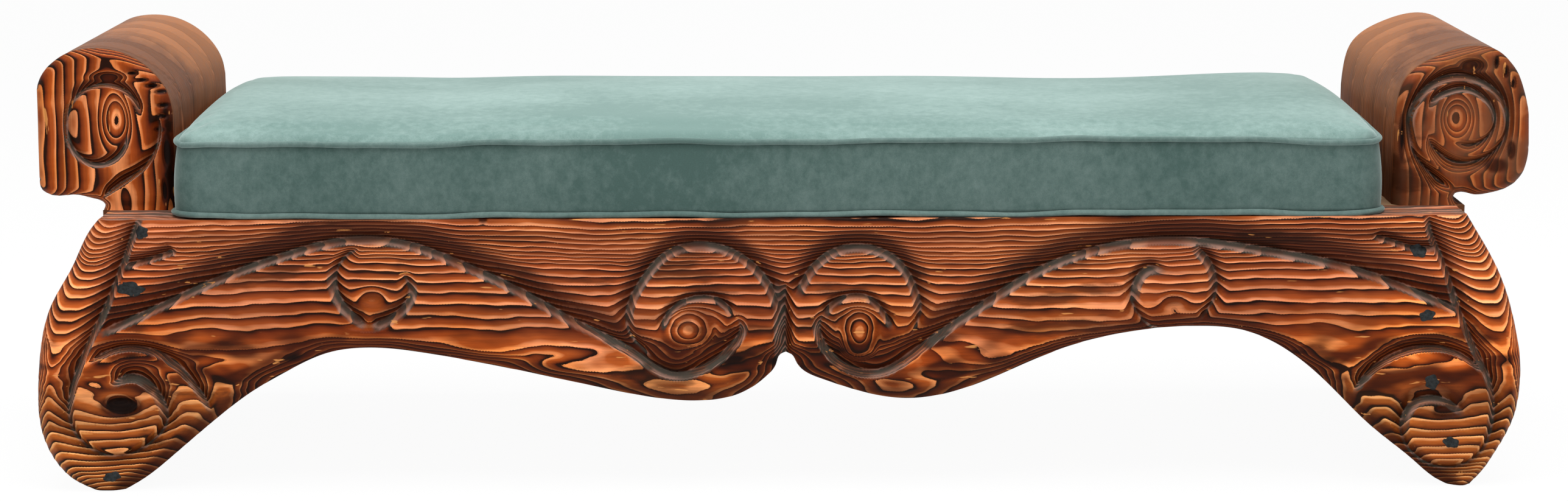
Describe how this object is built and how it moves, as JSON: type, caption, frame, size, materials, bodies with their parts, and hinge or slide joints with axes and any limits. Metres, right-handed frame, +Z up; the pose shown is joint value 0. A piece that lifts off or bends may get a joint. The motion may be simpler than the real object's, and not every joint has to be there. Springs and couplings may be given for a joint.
{
  "type": "scroll bench",
  "caption": "Low wooden bench with a carved scroll front, rolled arms and a loose piped box cushion, for sitting on.",
  "frame": {"origin": "on the floor under the middle of the bench, the bottom centre of its box", "axes": "+X along the seat to the sitter's left as seen from the front (the viewer's right), +Y towards the back, +Z up"},
  "size_m": [1.8224, 0.532, 0.5331],
  "materials": {
    "carved_wood": "satin",
    "frame_wood": "matte",
    "dowel_wood": "matte",
    "filler": "satin",
    "screw_steel": "satin",
    "velvet": "matte",
    "piping_cloth": "matte",
    "foam": "matte",
    "zip_tape": "matte",
    "zip_metal": "satin"
  },
  "bodies": {
    "frame": {"front_board": "carved_wood", "back_board": "carved_wood", "end_panel_left": "carved_wood", "end_panel_right": "carved_wood", "arm_left_plank_1": "carved_wood", "arm_left_plank_2": "carved_wood", "arm_left_plank_3": "carved_wood", "arm_left_plank_4": "carved_wood", "arm_left_plank_5": "carved_wood", "arm_right_plank_1": "carved_wood", "arm_right_plank_2": "carved_wood", "arm_right_plank_3": "carved_wood", "arm_right_plank_4": "carved_wood", "arm_right_plank_5": "carved_wood", "deck_board_1": "frame_wood", "deck_board_2": "frame_wood", "deck_board_3": "frame_wood", "deck_board_4": "frame_wood", "cross_bearer_1": "frame_wood", "cross_bearer_2": "frame_wood", "cross_bearer_3": "frame_wood", "cross_bearer_4": "frame_wood", "cross_bearer_5": "frame_wood", "front_cleat": "frame_wood", "back_cleat": "frame_wood", "arm_dowels_left": "dowel_wood", "arm_dowels_right": "dowel_wood", "front_screw_plugs": "filler", "back_screw_plugs": "filler", "front_end_screws": "screw_steel", "back_end_screws": "screw_steel", "deck_screws": "screw_steel", "front_cleat_screws": "screw_steel", "back_cleat_screws": "screw_steel", "bearer_screws": "screw_steel"},
    "cushion": {"cushion_foam": "foam", "cushion_top_panel": "velvet", "cushion_boxing": "velvet", "cushion_bottom_panel": "velvet", "piping_top": "piping_cloth", "piping_bottom": "piping_cloth", "zipper_tape": "zip_tape", "zipper_slider": "zip_metal"}
  },
  "joints": [
    {"name": "cushion_lift", "type": "slide", "parent": "frame", "child": "cushion", "axis": [0, 0, 1], "range_m": [0, 0.25]}
  ]
}
